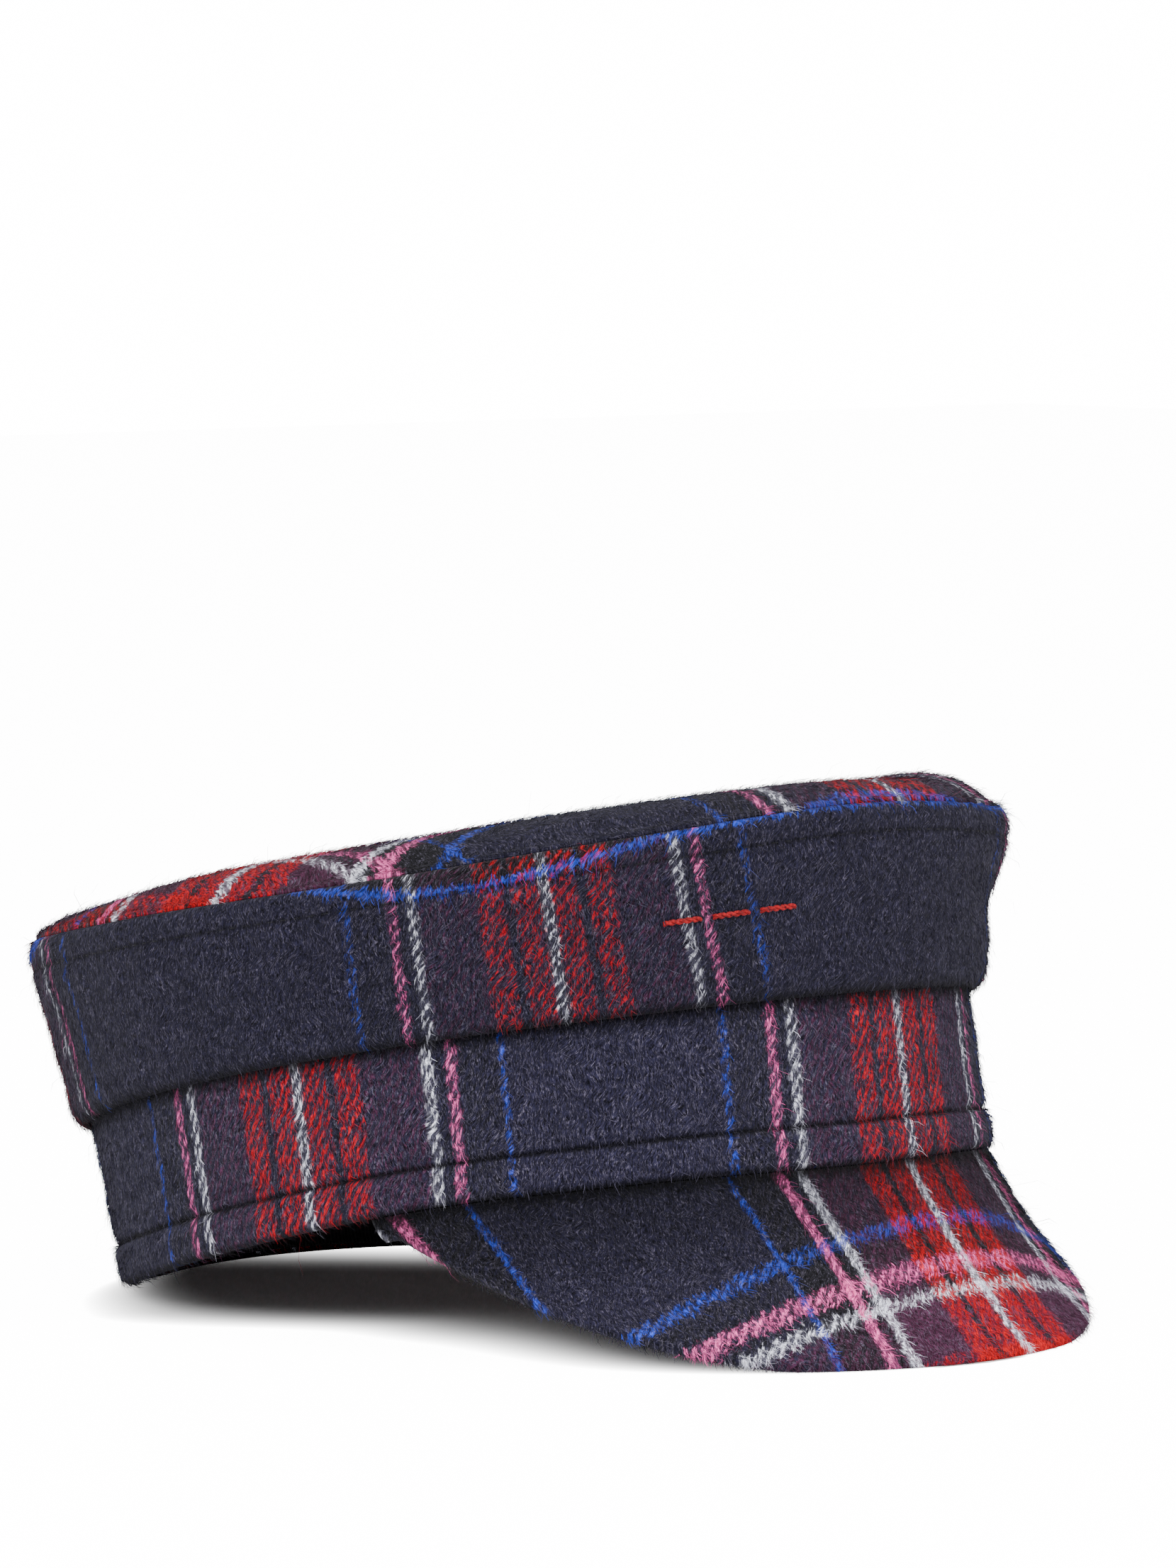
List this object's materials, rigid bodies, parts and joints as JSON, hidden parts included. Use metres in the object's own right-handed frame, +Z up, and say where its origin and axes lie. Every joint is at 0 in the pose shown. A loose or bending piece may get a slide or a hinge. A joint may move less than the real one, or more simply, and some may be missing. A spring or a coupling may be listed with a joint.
{
  "type": "baker boy cap",
  "caption": "Soft wool baker boy cap with a low rolled crown, a straight headband and a stiff curved peak, lying on a table.",
  "frame": {"origin": "middle of the cap's bounding box, on the table that it lies on", "axes": "the wearer faces -Y, the wearer's left is +X, +Z is up from the table; the cap is tipped back by about 12 degrees"},
  "size_m": [0.2052, 0.2568, 0.1173],
  "materials": {
    "wool": "brushed tartan wool",
    "sweatband_cloth": "matt woven tape"
  },
  "bodies": {
    "root": {"crown_tip": "wool", "crown_side": "wool", "headband": "wool", "peak": "wool", "sweatband": "sweatband_cloth"}
  },
  "joints": []
}
